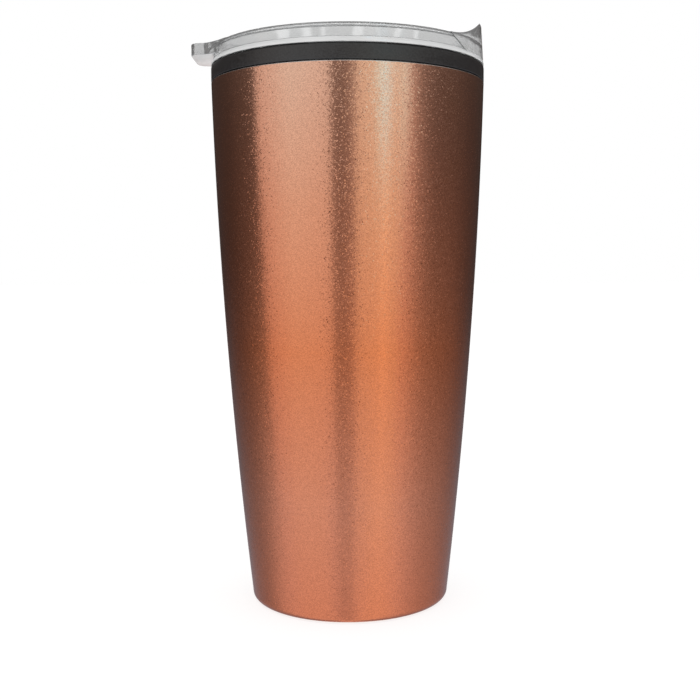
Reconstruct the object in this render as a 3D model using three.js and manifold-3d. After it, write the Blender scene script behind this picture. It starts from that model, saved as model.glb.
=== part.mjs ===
// Double-wall travel tumbler with a press-in drinking lid. Millimetres, +Z up.
//
// A tapered steel shell is closed by a recessed base disc. A plastic liner hangs inside it on a
// collar that grips the shell's necked mouth, with an air gap between the two walls. A clear dished
// lid presses into the liner on a silicone gasket. Its sip spout points along +X, its pry tab along
// -X, and a slider on the dish floor runs along X to open and close the sip slot.
//
// The origin is the centre of the foot ring, on the surface that the tumbler stands on.

import * as THREE from 'three';
import { mergeVertices } from 'three/addons/utils/BufferGeometryUtils.js';
import Module from 'manifold-3d';

const wasm = await Module();
wasm.setup();

// ---------------------------------------------------------------- driving dimensions

const fitGap = 0.3; // clearance left wherever two pieces meet
const edgeBreak = 0.3; // small bevel on moulded and turned edges
const joinDepth = 0.5; // how far shapes of one moulding run into each other
const turns = 48; // flat sides in every round piece

// Steel shell
const mouthRadius = 44.0; // outside radius just under the collar
const footRadius = 32.3; // outside radius of the side, carried down to the ground
const shellHeight = 168.4; // ground to the underside of the collar
const mouthLean = 0.0257; // inward lean of the side at the mouth, per millimetre of height
const shellWall = 0.5;
const footCorner = 2.4; // outside radius where the side turns under
const footRingWidth = 2.6; // flat width of the ring that it stands on
const footLipHeight = 3.4; // turned-up edge inside the foot ring, where the base disc is welded

// Base disc
const baseRecess = 1.0; // ground to the underside of the disc's middle
const baseWall = 0.5;
const baseStep = 0.7; // the disc's outer band stands this much higher than its middle
const baseMiddle = 15.0; // radius of the middle
const baseSlope = 2.0; // width of the slope round it
const baseFlange = 1.5; // height of its turned-up edge

// Liner and collar
const airGap = 2.2; // between shell and liner
const linerWall = 1.8;
const linerFloor = 2.0;
const linerCorner = 4.0; // inside radius at the bottom of the liner
const cushionThickness = 3.6; // foam disc between liner and base disc
const cushionRadius = 22.0;
const collarHeight = 4.9;
const collarSkirt = 1.1; // thickness of the collar outside the shell's neck
const collarRoof = 1.4; // thickness over the shell's neck
const collarRound = 0.6; // outside corner radius
const rimRound = 0.7; // inside corner radius
const rimSealThickness = 0.7;

// Lid
const lidRise = 5.8; // height above its seat on the collar
const flangeThickness = 1.6;
const flangeInset = 0.2; // flange edge, inside the mouth radius
const wallFootInset = 0.8; // foot of the upstanding wall, inside the mouth radius
const wallTopInset = 1.4;
const lidWall = 1.9;
const lidTopRound = 0.8;
const plugClearance = 0.6; // between plug and liner, where only the gasket touches
const plugWall = 2.6;
const plugDepth = 12.6; // how far the plug reaches below its seat
const dishDepth = 9.9; // lid top to dish floor
const deckWall = 1.8;
const dishCorner = 0.9;
const dishDraft = 0.5; // lean of the dish walls
const ledgeWall = 0.9; // the ledge inside the wall, above the seat
const gasketGrooveDepth = 1.1;
const gasketGrooveHeight = 3.4;
const gasketGrooveUp = 2.2; // plug's lower edge to the groove
const gasketFinClearance = 0.2;

// Sip spout and pry tab
const spoutRise = 6.2; // lip above the lid's top
const spoutLevel = 2.7; // its level top starts this far inside the mouth radius
const spoutClimb = 10.8; // along X, from the lid's top up to the level top
const spoutWall = 1.8;
const spoutDraft = 0.8; // how far the peak stands inside the flange's edge
const tabReach = 5.7; // beyond the mouth radius
const tabRise = 0.7; // its top, above the lid's top
const tabThickness = 3.6;
const tabTipHalf = 10.0;
const tabRootHalf = 19.0;
const tabCorner = 4.2;

// Sip slot, slider and vent
const sipLength = 6.0; // along X
const sipWidth = 14.0;
const sipRound = 2.4;
const sipInset = 2.1; // sip slot to the dish wall
const sliderTravel = 9.0;
const sliderWidth = 20.0;
const sliderPlate = 2.0; // thickness
const sliderTail = 33.6; // front of the slider to its tail
const sliderTailRound = 6.0;
const sliderSideGap = 0.4;
const railWall = 1.5;
const railHeight = 3.4;
const railRun = 1.0; // past the slider's tail and past the back of the sip slot
const gripLength = 5.0;
const gripWidth = 15.0;
const gripRise = 5.4;
const gripCrown = 1.0; // height of its rounded top
const gripFlare = 2.2; // how far its foot spreads on each side
const gripFlareHeight = 2.4;
const gripBack = 18.5; // front of the slider to the middle of the grip
const stemLength = 8.0;
const stemWidth = 5.0;
const barbWidth = 7.0;
const barbThickness = 0.8;
const gateLength = 20.0;
const gateWidth = 14.0;
const gateThickness = 1.5;
const gateRound = 3.0;
const padLength = 7.6; // slider's sealing pad, along X
const padWidth = 16.0;
const padDepth = 1.0;
const padProud = 0.2; // how far the pad stands below the slider plate
const padSideGap = 0.2;
const padRound = 2.5;
const ventRadius = 1.1;
const ventBack = 25.0; // from the axis, along -X

// ---------------------------------------------------------------- worked-out places

const sideBow = (mouthRadius - footRadius - mouthLean * shellHeight) / shellHeight ** 2;
const sideRadius = (z) => {
  const down = shellHeight - z;
  return mouthRadius - mouthLean * down - sideBow * down ** 2;
};
const linerOuter = (z) => sideRadius(z) - shellWall - airGap;
const linerInner = (z) => linerOuter(z) - linerWall;

const collarTop = shellHeight + collarHeight;
const skirtInner = mouthRadius - collarSkirt;
const neckRadius = skirtInner - fitGap;
const neckTop = collarTop - collarRoof - fitGap - rimSealThickness - fitGap;

const baseDiscTop = baseRecess + baseWall + baseStep;
const cushionBottom = baseDiscTop + fitGap;
const linerBottom = cushionBottom + cushionThickness + fitGap;
const linerFloorTop = linerBottom + linerFloor;

const lidSeat = collarTop + fitGap;
const lidTop = lidSeat + lidRise;
const flangeTop = lidSeat + flangeThickness;
const flangeRadius = mouthRadius - flangeInset;
const plugRadius = linerInner(shellHeight) - plugClearance;
const dishRadius = plugRadius - plugWall;
const plugBottom = lidSeat - plugDepth;
const deckTop = lidTop - dishDepth;
const deckBottom = deckTop - deckWall;
const grooveBottom = plugBottom + gasketGrooveUp;
const grooveTop = grooveBottom + gasketGrooveHeight;
const grooveFloor = plugRadius - gasketGrooveDepth;

const sipFront = dishRadius - sipInset;
const sipBack = sipFront - sipLength;
const sipMiddle = (sipBack + sipFront) / 2;
const closedFront = dishRadius - 2 * fitGap; // slider's front edge when it is shut
const sliderFront = closedFront - sliderTravel; // and here, with the slider open
const sliderBottom = deckTop + fitGap;
const sliderTop = sliderBottom + sliderPlate;
const gripMiddle = sliderFront - gripBack;
const stemFrom = gripMiddle - stemLength / 2;
const stemTo = gripMiddle + stemLength / 2;
const gateTop = deckBottom - fitGap;
const gateBottom = gateTop - gateThickness;
const barbTop = gateBottom - fitGap;
const barbBottom = barbTop - barbThickness;
const padMiddle = sipMiddle - sliderTravel; // sealing pad, with the slider open
const railStart = sliderFront - sliderTail - railRun;
const railEnd = sipBack + railRun;

// ---------------------------------------------------------------- shaping

// A closed outline in (radius, height), turned about the Z axis.
function turned(outline) {
  const area = outline.reduce((sum, [r, z], i) => {
    const [nextR, nextZ] = outline[(i + 1) % outline.length];
    return sum + r * nextZ - nextR * z;
  }, 0);
  const ordered = area > 0 ? outline : [...outline].reverse();
  const points = [...ordered, ordered[0]].map(([r, z]) => new THREE.Vector2(r, z));
  return new THREE.LatheGeometry(points, turns).rotateX(Math.PI / 2);
}

// Points on a round corner, from one direction to another, in degrees.
function corner(r, z, radius, fromDeg, toDeg, steps) {
  return Array.from({ length: steps + 1 }, (_, i) => {
    const a = THREE.MathUtils.degToRad(fromDeg + ((toDeg - fromDeg) * i) / steps);
    return [r + radius * Math.cos(a), z + radius * Math.sin(a)];
  });
}

// Points down a curved side, from one height to another.
function flank(radiusAt, fromZ, toZ, steps) {
  return Array.from({ length: steps + 1 }, (_, i) => {
    const z = fromZ + ((toZ - fromZ) * i) / steps;
    return [radiusAt(z), z];
  });
}

// A flat outline drawn from above, raised from one height to another.
function raised(shape, fromZ, toZ, curveSegments = 6) {
  const depth = toZ - fromZ;
  const geometry = new THREE.ExtrudeGeometry(shape, { depth, bevelEnabled: false, curveSegments });
  return geometry.translate(0, 0, fromZ);
}

// A rectangle with round corners, from its middle.
function roundedRectangle(middleX, length, width, round) {
  const left = middleX - length / 2;
  const right = middleX + length / 2;
  const half = width / 2;
  const shape = new THREE.Shape();
  shape.moveTo(left + round, -half);
  shape.lineTo(right - round, -half);
  shape.absarc(right - round, -half + round, round, -Math.PI / 2, 0);
  shape.lineTo(right, half - round);
  shape.absarc(right - round, half - round, round, 0, Math.PI / 2);
  shape.lineTo(left + round, half);
  shape.absarc(left + round, half - round, round, Math.PI / 2, Math.PI);
  shape.lineTo(left, -half + round);
  shape.absarc(left + round, -half + round, round, Math.PI, 1.5 * Math.PI);
  return shape;
}

function box(fromX, toX, width, fromZ, toZ) {
  const geometry = new THREE.BoxGeometry(toX - fromX, width, toZ - fromZ);
  return geometry.translate((fromX + toX) / 2, 0, (fromZ + toZ) / 2);
}

// A three.js geometry as a solid that can be joined and cut, and back again.
function solid(geometry) {
  const bare = new THREE.BufferGeometry();
  bare.setAttribute('position', geometry.getAttribute('position').clone());
  if (geometry.index) bare.setIndex(geometry.index.clone());
  const merged = mergeVertices(bare, 1e-3);
  const corners = merged.index.array;
  const kept = [];
  for (let i = 0; i < corners.length; i += 3) {
    const [a, b, c] = [corners[i], corners[i + 1], corners[i + 2]];
    if (a !== b && b !== c && c !== a) kept.push(a, b, c);
  }
  return new wasm.Manifold(
    new wasm.Mesh({
      numProp: 3,
      vertProperties: new Float32Array(merged.attributes.position.array),
      triVerts: new Uint32Array(kept),
    }),
  );
}

function geometryOf(shape) {
  const mesh = shape.getMesh();
  const geometry = new THREE.BufferGeometry();
  geometry.setAttribute('position', new THREE.BufferAttribute(new Float32Array(mesh.vertProperties), 3));
  geometry.setIndex(new THREE.BufferAttribute(new Uint32Array(mesh.triVerts), 1));
  geometry.computeVertexNormals();
  return geometry;
}

// ---------------------------------------------------------------- finishes

const finish = (color, roughness, metalness, more = {}) =>
  new THREE.MeshStandardMaterial({ color, roughness, metalness, ...more });
const copperCoat = finish(0xb9704d, 0.36, 0.9);
const bareSteel = finish(0xb8babb, 0.35, 1.0);
const blackPlastic = finish(0x262626, 0.55, 0.0);
const clearPlastic = finish(0xeef1f2, 0.06, 0.0, { transparent: true, opacity: 0.35 });
const clearSilicone = finish(0xdfe3e4, 0.45, 0.0, { transparent: true, opacity: 0.7 });
const whiteSilicone = finish(0xd8dadb, 0.6, 0.0);
const greyFoam = finish(0x8d8f90, 0.95, 0.0);

const tumbler = new THREE.Group();
tumbler.name = 'insulated_tumbler';

function add(name, geometry, material) {
  const mesh = new THREE.Mesh(geometry, material);
  mesh.name = name;
  tumbler.add(mesh);
}

// ---------------------------------------------------------------- steel shell

// Rolled and expanded steel. The mouth is necked in to take the collar flush, and the bottom is
// turned under into a foot ring and up again into a welding lip.
function outerShell() {
  const footMiddle = sideRadius(footCorner) - footCorner;
  const lipOuter = footMiddle - footRingWidth;
  const lipInner = lipOuter - shellWall;
  const inside = (z) => sideRadius(z) - shellWall;
  const shoulder = shellHeight - shellWall;
  return turned([
    [neckRadius - shellWall, neckTop],
    [neckRadius, neckTop],
    [neckRadius, shellHeight],
    [mouthRadius - edgeBreak, shellHeight],
    ...flank(sideRadius, shellHeight - edgeBreak, footCorner, 5),
    ...corner(footMiddle, footCorner, footCorner, -18, -90, 4),
    [lipOuter, 0],
    [lipInner, shellWall],
    [lipInner, footLipHeight],
    [lipOuter, footLipHeight],
    [lipOuter, shellWall],
    ...corner(footMiddle, footCorner, footCorner - shellWall, -90, -10, 3),
    ...flank(inside, footCorner + 1, shoulder - edgeBreak, 5),
    [neckRadius - shellWall, shoulder],
  ]);
}
add('outer_shell', outerShell(), copperCoat);

// ---------------------------------------------------------------- base disc

// Pressed steel disc with a dished middle and a turned-up edge, welded inside the foot lip.
function baseDisc() {
  const edge = sideRadius(footCorner) - footCorner - footRingWidth - shellWall - fitGap;
  const low = baseRecess;
  const high = baseRecess + baseStep;
  const rim = high + baseWall + baseFlange;
  return turned([
    [0, low],
    [baseMiddle, low],
    [baseMiddle + baseSlope, high],
    [edge - baseWall, high],
    [edge, high + baseWall],
    [edge, rim],
    [edge - baseWall, rim],
    [edge - baseWall, high + baseWall],
    [baseMiddle + baseSlope, high + baseWall],
    [baseMiddle, low + baseWall],
    [0, low + baseWall],
  ]);
}
add('base_disc', baseDisc(), bareSteel);

// ---------------------------------------------------------------- liner cushion

// Foam disc that carries the liner's bottom and stops it rattling on the base disc.
const linerCushion = turned([
  [0, cushionBottom],
  [cushionRadius, cushionBottom],
  [cushionRadius, cushionBottom + cushionThickness],
  [0, cushionBottom + cushionThickness],
]);
add('liner_cushion', linerCushion, greyFoam);

// ---------------------------------------------------------------- liner with collar

// Moulded cup whose collar folds down over the shell's neck, flush with the shell outside.
function innerLiner() {
  const grooveRoof = collarTop - collarRoof;
  const outerCorner = linerCorner + linerWall / 2;
  const outerCentre = linerBottom + outerCorner;
  const innerCentre = linerFloorTop + linerCorner;
  const outerEdge = linerOuter(outerCentre) - outerCorner;
  const innerEdge = linerInner(innerCentre) - linerCorner;
  return turned([
    [0, linerBottom],
    ...corner(outerEdge, outerCentre, outerCorner, -90, 0, 3),
    ...flank(linerOuter, outerCentre + 3, shellHeight - 2, 6),
    [linerOuter(shellHeight), grooveRoof],
    [skirtInner, grooveRoof],
    [skirtInner, shellHeight + fitGap],
    [mouthRadius, shellHeight + fitGap],
    ...corner(mouthRadius - collarRound, collarTop - collarRound, collarRound, 0, 90, 3),
    ...corner(linerInner(shellHeight) + rimRound, collarTop - rimRound, rimRound, 90, 180, 2),
    ...flank(linerInner, shellHeight - 1, innerCentre + 1, 6),
    ...corner(innerEdge, innerCentre, linerCorner, 0, -90, 3),
    [0, linerFloorTop],
  ]);
}
add('inner_liner', innerLiner(), blackPlastic);

// ---------------------------------------------------------------- rim seal

// Flat ring on top of the shell's neck, which keeps washing water out of the air gap.
const rimSeal = turned([
  [linerOuter(shellHeight) + fitGap, neckTop + fitGap],
  [skirtInner - fitGap, neckTop + fitGap],
  [skirtInner - fitGap, neckTop + fitGap + rimSealThickness],
  [linerOuter(shellHeight) + fitGap, neckTop + fitGap + rimSealThickness],
]);
add('rim_seal', rimSeal, whiteSilicone);

// ---------------------------------------------------------------- lid

// Dished clear moulding: flange on the collar, upstanding wall, plug with a gasket groove.
function lidRound() {
  const wallFoot = mouthRadius - wallFootInset;
  const wallTop = mouthRadius - wallTopInset;
  const wallInside = wallTop - lidWall;
  return turned([
    [0, deckBottom],
    [dishRadius, deckBottom],
    [dishRadius, plugBottom + edgeBreak],
    [dishRadius + edgeBreak, plugBottom],
    [plugRadius - edgeBreak, plugBottom],
    [plugRadius, plugBottom + edgeBreak],
    [plugRadius, grooveBottom],
    [grooveFloor, grooveBottom],
    [grooveFloor, grooveTop],
    [plugRadius, grooveTop],
    [plugRadius, lidSeat],
    [flangeRadius - edgeBreak, lidSeat],
    [flangeRadius, lidSeat + edgeBreak],
    [flangeRadius, flangeTop],
    [wallFoot, flangeTop],
    ...corner(wallTop - lidTopRound, lidTop - lidTopRound, lidTopRound, 0, 90, 3),
    [wallInside + edgeBreak, lidTop],
    [wallInside, lidTop - edgeBreak],
    [wallInside - dishDraft, lidSeat + ledgeWall],
    [dishRadius + dishDraft, lidSeat + ledgeWall],
    ...corner(dishRadius - dishCorner, deckTop + dishCorner, dishCorner, 0, -90, 2),
    [0, deckTop],
  ]);
}

// The lid's wall carried up into a drinking lip, cut by a hollow curve that climbs along X.
function spout() {
  const peak = lidTop + spoutRise;
  const peakRadius = flangeRadius - spoutDraft;
  const lip = turned([
    [mouthRadius - wallTopInset - lidWall, flangeTop],
    [flangeRadius, flangeTop],
    [peakRadius, peak + 1],
    [peakRadius - spoutWall, peak + 1],
    [peakRadius - spoutWall, lidTop - 1],
  ]);
  const levelX = mouthRadius - spoutLevel;
  const footX = levelX - spoutClimb;
  const climb = new THREE.Shape();
  climb.moveTo(footX, flangeTop);
  climb.lineTo(mouthRadius + 1, flangeTop);
  climb.lineTo(mouthRadius + 1, peak);
  climb.lineTo(levelX, peak);
  climb.quadraticCurveTo(footX + spoutClimb / 2, lidTop, footX, lidTop);
  const width = 2.2 * mouthRadius;
  const wedge = new THREE.ExtrudeGeometry(climb, { depth: width, bevelEnabled: false, curveSegments: 7 });
  wedge.rotateX(Math.PI / 2).translate(0, width / 2, 0);
  return solid(lip).intersect(solid(wedge));
}

// Flared tab that a thumb pushes up to lift the lid out.
function pryTab() {
  const tip = -(mouthRadius + tabReach);
  const wallMiddle = mouthRadius - wallTopInset - lidWall / 2;
  const root = -Math.sqrt(wallMiddle ** 2 - tabRootHalf ** 2);
  const shape = new THREE.Shape();
  shape.moveTo(root, -tabRootHalf);
  shape.lineTo(root, tabRootHalf);
  shape.quadraticCurveTo(-mouthRadius, tabTipHalf, tip + tabCorner, tabTipHalf);
  shape.quadraticCurveTo(tip, tabTipHalf, tip, tabTipHalf - tabCorner);
  shape.lineTo(tip, tabCorner - tabTipHalf);
  shape.quadraticCurveTo(tip, -tabTipHalf, tip + tabCorner, -tabTipHalf);
  shape.quadraticCurveTo(-mouthRadius, -tabTipHalf, root, -tabRootHalf);
  const top = lidTop + tabRise;
  const plate = solid(raised(shape, top - tabThickness, top, 4));
  const hollow = solid(turned([
    [0, plugBottom],
    [wallMiddle, plugBottom],
    [wallMiddle, lidTop + 1],
    [0, lidTop + 1],
  ]));
  return plate.subtract(hollow);
}

// Low rails that guide the slider's two long sides.
function rails() {
  const inner = sliderWidth / 2 + sliderSideGap;
  const outer = inner + railWall;
  const top = deckTop + railHeight;
  const block = solid(box(railStart, railEnd, 2 * outer, deckTop - joinDepth, top));
  const middle = solid(box(railStart - 1, railEnd + 1, 2 * inner, deckTop - 1, top + 1));
  return block.subtract(middle);
}

function lidBody() {
  const through = [deckBottom - 1, deckTop + 1];
  const sip = raised(roundedRectangle(sipMiddle, sipLength, sipWidth, sipRound), ...through);
  const slotFrom = stemFrom - fitGap;
  const slotTo = stemTo + sliderTravel + fitGap;
  const slot = box(slotFrom, slotTo, stemWidth + 2 * fitGap, ...through);
  const vent = new THREE.CylinderGeometry(ventRadius, ventRadius, deckWall + 2, 12);
  vent.rotateX(Math.PI / 2).translate(-ventBack, 0, (deckTop + deckBottom) / 2);
  const shape = solid(lidRound())
    .add(spout())
    .add(pryTab())
    .add(rails())
    .subtract(solid(sip))
    .subtract(solid(slot))
    .subtract(solid(vent));
  return geometryOf(shape);
}
add('lid_body', lidBody(), clearPlastic);

// ---------------------------------------------------------------- lid gasket

// Silicone ring in the plug's groove, with two fins that wipe the liner's wall.
function lidGasket() {
  const inner = grooveFloor + fitGap;
  const low = grooveBottom + fitGap;
  const high = grooveTop - fitGap;
  const height = high - low;
  const finAt = (share) => {
    const z = low + height * share;
    return [linerInner(z) - gasketFinClearance, z];
  };
  return turned([
    [inner, low],
    [plugRadius, low],
    [plugRadius, low + height * 0.1],
    finAt(0.22),
    [plugRadius, low + height * 0.34],
    [plugRadius, low + height * 0.6],
    finAt(0.72),
    [plugRadius, low + height * 0.84],
    [plugRadius, high],
    [inner, high],
  ]);
}
add('lid_gasket', lidGasket(), clearSilicone);

// ---------------------------------------------------------------- slider

// Plate with a front edge that follows the dish wall when shut, a thumb grip on top, a pocket for
// the sealing pad underneath, and a barbed stem that reaches through the deck.
function sliderCap() {
  const half = sliderWidth / 2;
  const tail = sliderFront - sliderTail;
  const bend = Math.asin(half / closedFront);
  const outline = new THREE.Shape();
  outline.absarc(-sliderTravel, 0, closedFront, -bend, bend);
  outline.lineTo(tail + sliderTailRound, half);
  outline.absarc(tail + sliderTailRound, half - sliderTailRound, sliderTailRound, Math.PI / 2, Math.PI);
  outline.lineTo(tail, sliderTailRound - half);
  outline.absarc(tail + sliderTailRound, sliderTailRound - half, sliderTailRound, Math.PI, 1.5 * Math.PI);
  const plate = solid(raised(outline, sliderBottom, sliderTop));

  const gripFront = gripMiddle + gripLength / 2;
  const gripRear = gripMiddle - gripLength / 2;
  const gripTop = sliderTop + gripRise;
  const gripFoot = sliderTop - joinDepth;
  const ridge = new THREE.Shape();
  ridge.moveTo(gripRear - gripFlare, gripFoot);
  ridge.lineTo(gripFront + gripFlare, gripFoot);
  ridge.quadraticCurveTo(gripFront, sliderTop, gripFront, sliderTop + gripFlareHeight);
  ridge.lineTo(gripFront, gripTop - gripCrown);
  ridge.quadraticCurveTo(gripFront, gripTop, gripMiddle, gripTop);
  ridge.quadraticCurveTo(gripRear, gripTop, gripRear, gripTop - gripCrown);
  ridge.lineTo(gripRear, sliderTop + gripFlareHeight);
  ridge.quadraticCurveTo(gripRear, sliderTop, gripRear - gripFlare, gripFoot);
  const grip = new THREE.ExtrudeGeometry(ridge, { depth: gripWidth, bevelEnabled: false, curveSegments: 3 });
  grip.rotateX(Math.PI / 2).translate(0, gripWidth / 2, 0);

  const stem = box(stemFrom, stemTo, stemWidth, barbBottom, sliderBottom + joinDepth);
  const barb = box(stemFrom, stemTo, barbWidth, barbBottom, barbTop);
  const pocket = raised(
    roundedRectangle(padMiddle, padLength + 2 * padSideGap, padWidth + 2 * padSideGap, padRound),
    sliderBottom - 1,
    sliderBottom - padProud + padDepth + padSideGap,
  );
  return geometryOf(plate.add(solid(grip)).add(solid(stem)).add(solid(barb)).subtract(solid(pocket)));
}
add('slider_cap', sliderCap(), clearPlastic);

// Plate under the deck that the stem's barbs snap through, so the slider can't lift.
function sliderGate() {
  const plate = raised(roundedRectangle(gripMiddle, gateLength, gateWidth, gateRound), gateBottom, gateTop);
  const hole = box(stemFrom - fitGap, stemTo + fitGap, stemWidth + 2 * fitGap, gateBottom - 1, gateTop + 1);
  return geometryOf(solid(plate).subtract(solid(hole)));
}
add('slider_gate', sliderGate(), clearPlastic);

// Silicone pad in the slider's pocket, which covers the sip slot when the slider is shut.
const padFloor = sliderBottom - padProud;
const sliderSeal = raised(
  roundedRectangle(padMiddle, padLength, padWidth, padRound),
  padFloor,
  padFloor + padDepth,
);
add('slider_seal', sliderSeal, whiteSilicone);

export default tumbler;
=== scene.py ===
"""Looks for a double-wall travel tumbler with a clear press-in lid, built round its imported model.

Lengths are metres, +Z is up, +X points to the lid's sip spout and -X to its pry tab.
"""

import math

import bpy
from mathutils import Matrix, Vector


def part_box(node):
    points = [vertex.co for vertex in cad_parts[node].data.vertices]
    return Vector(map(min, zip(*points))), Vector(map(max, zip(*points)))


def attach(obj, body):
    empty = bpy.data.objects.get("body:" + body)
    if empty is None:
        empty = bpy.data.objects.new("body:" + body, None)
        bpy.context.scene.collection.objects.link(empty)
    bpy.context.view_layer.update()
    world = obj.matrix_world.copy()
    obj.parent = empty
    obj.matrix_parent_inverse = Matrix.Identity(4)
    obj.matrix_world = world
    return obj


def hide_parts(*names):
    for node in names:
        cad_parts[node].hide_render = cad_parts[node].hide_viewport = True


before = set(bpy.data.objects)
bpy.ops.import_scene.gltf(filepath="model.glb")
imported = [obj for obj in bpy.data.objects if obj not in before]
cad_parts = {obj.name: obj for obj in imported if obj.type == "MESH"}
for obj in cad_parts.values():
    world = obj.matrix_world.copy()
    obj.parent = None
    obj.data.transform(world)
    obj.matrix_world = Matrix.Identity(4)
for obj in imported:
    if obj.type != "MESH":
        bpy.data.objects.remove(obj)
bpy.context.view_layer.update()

# ------------------------------------------------------------------------------------------------
# Camera
#
# A little above the tumbler's middle and tipped down slightly, so that the lid's front edge hides
# what is in the dish. It points a little past the tumbler, and the shift brings that back.

MM = 0.001
CAMERA_BACK = 346.36 * MM
CAMERA_HEIGHT = 109.90 * MM
CAMERA_PITCH = 0.0800
CAMERA_TURN = 0.0203
CAMERA_ROLL = 0.0033
CAMERA_LENS = 53.75
CAMERA_SENSOR = 36
CAMERA_SHIFT = -0.0286

bpy.ops.object.select_all(action="DESELECT")
bpy.ops.object.camera_add(location=(0, -CAMERA_BACK, CAMERA_HEIGHT))
camera = bpy.context.object
camera.name = "camera"
camera.rotation_euler = (math.pi / 2 - CAMERA_PITCH, CAMERA_ROLL, -CAMERA_TURN)
camera.data.lens = CAMERA_LENS
camera.data.sensor_width = CAMERA_SENSOR
camera.data.shift_x = CAMERA_SHIFT
camera.data.clip_start = 0.01
camera.data.clip_end = 20
bpy.context.scene.camera = camera

# ------------------------------------------------------------------------------------------------
# Studio
#
# A white room. What a surface mirrors is a wide softbox on the left, two strips on the right, a
# dark flag between the two sides, and dark behind but for a low white strip. Through clear plastic
# shows pale grey card with white strips, so that a clear part stands out from the white room.

bpy.context.scene.view_settings.view_transform = "Standard"

# Each stop is (degrees round from the camera towards +X, brightness or colour). The rings of stops
# are for directions a little above the horizon, just below it, and well below it. A ring's shade
# is the tint of its dark parts, and fades out over the last part up to full white.
SHADE_FADE = 0.12
SHADE_ABOVE = (1.0, 0.76, 0.69)
RING_ABOVE = [
    (-180, 0.040),
    (-120, 0.075),
    (-94, 0.13),
    (-83, 0.17),
    (-78.5, 0.90),
    (-62, 0.95),
    (-48, 1.00),
    (-26, 0.97),
    (-16, 0.96),
    (-12.5, 0.26),
    (-4, 0.24),
    (3, 0.40),
    (8.5, (0.98, 0.87, 0.76)),
    (21, (0.98, 0.88, 0.75)),
    (25, (0.97, 1.25, 1.25)),
    (28, (0.96, 1.52, 1.78)),
    (32, (0.96, 1.50, 1.76)),
    (36, (1.00, 0.99, 0.90)),
    (42, (1.00, 0.92, 0.82)),
    (45, (0.98, 1.15, 1.14)),
    (48, (0.96, 1.15, 1.15)),
    (51, (0.86, 0.80, 0.76)),
    (54, 0.64),
    (60, 0.38),
    (68, 0.24),
    (78, 0.165),
    (90, 0.15),
    (104, 0.125),
    (123, 0.09),
    (150, 0.06),
    (180, 0.040),
]
SHADE_LEVEL = (1.0, 0.84, 0.82)
RING_LEVEL = [
    (-180, 1.0),
    (-172, 0.9),
    (-164, 0.05),
    (-120, 0.085),
    (-104, 0.125),
    (-94, 0.16),
    (-84, 0.19),
    (-78, 0.68),
    (-68, 0.92),
    (-50, 1.02),
    (-26, 0.98),
    (-16, 0.97),
    (-12.5, 0.33),
    (-4, 0.31),
    (3, 0.46),
    (9, (0.98, 0.95, 0.85)),
    (20, (0.98, 0.94, 0.82)),
    (27, (1.04, 0.98, 0.84)),
    (31, (1.34, 1.24, 0.98)),
    (35, (1.04, 0.98, 0.84)),
    (42, (0.96, 0.92, 0.82)),
    (48, 0.83),
    (55, 0.64),
    (62, 0.44),
    (70, 0.32),
    (80, 0.235),
    (92, 0.215),
    (107, 0.18),
    (128, 0.11),
    (164, 0.05),
    (172, 0.9),
    (180, 1.0),
]
SHADE_BELOW = (1.0, 1.04, 1.2)
RING_BELOW = [
    (-180, 1.0),
    (-172, 1.0),
    (-164, 0.38),
    (-130, 0.40),
    (-113, 0.44),
    (-100, 0.56),
    (-88, 0.76),
    (-73, 0.87),
    (-57, 0.93),
    (-28, 0.94),
    (-17, 0.86),
    (-9, 0.68),
    (0, 0.72),
    (9, 0.94),
    (25, 1.00),
    (32, 1.06),
    (40, 1.00),
    (53, 0.93),
    (69, 0.76),
    (86, 0.62),
    (107, 0.53),
    (130, 0.42),
    (164, 0.38),
    (172, 1.0),
    (180, 1.0),
]
# (degrees above the horizon, share)
RISE_OF_BELOW = [(-90, 1.0), (-27, 1.0), (-20, 0.72), (-12, 0.34), (-3, 0.0), (90, 0.0)]
RISE_OF_ABOVE = [(-90, 0.0), (-3, 0.0), (5, 1.0), (90, 1.0)]
RISE_OF_CEILING = [(-90, 0.0), (13, 0.0), (22, 0.7), (34, 0.6), (44, 0.05), (70, 0.05), (90, 0.8)]
SIDE_OF_CEILING = [(-180, 0.1), (-95, 0.1), (-70, 1.0), (95, 1.0), (115, 0.1), (180, 0.1)]
# (degrees from straight away from the camera, brightness); it repeats round the room
CARD_REPEAT = 24.0
CARD_GREY = 0.66
CARD_STRIPS = [
    (-12.0, CARD_GREY),
    (-4.3, CARD_GREY),
    (-4.1, 1.0),
    (-3.5, 1.0),
    (-3.3, CARD_GREY),
    (-2.7, 0.68),
    (-2.5, 1.0),
    (-2.2, 1.0),
    (-2.1, 0.60),
    (-1.6, 0.60),
    (-1.5, 0.9),
    (-1.3, 0.9),
    (-1.2, CARD_GREY),
    (0.2, CARD_GREY),
    (0.35, 1.0),
    (0.9, 1.0),
    (1.0, 0.74),
    (1.6, 0.72),
    (1.7, 0.85),
    (1.9, 0.70),
    (2.7, 0.68),
    (2.8, 0.95),
    (3.1, 0.95),
    (3.2, 0.66),
    (3.7, 0.68),
    (3.8, 1.0),
    (4.1, 1.0),
    (4.2, CARD_GREY),
    (12.0, CARD_GREY),
]
# The card hangs above the horizon, with white below it, and its upper part is dark.
CARD_RISE = [(-90, 0.0), (0, 0.0), (4, 1.0), (90, 1.0)]
CARD_DARK = 0.10
RISE_OF_DARK = [(-90, 0.0), (20, 0.0), (26, 1.0), (62, 1.0), (80, 0.0), (90, 0.0)]


def cast(stops, shade):
    """Tints a ring's plain stops by its shade: not at all at full white, in full well below it."""
    tinted = []
    for place, value in stops:
        if isinstance(value, float):
            share = min(max((1 - value) / SHADE_FADE, 0), 1)
            value = tuple(value * (1 + (tint - 1) * share) for tint in shade)
        tinted.append((place, value))
    return tinted


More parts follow.
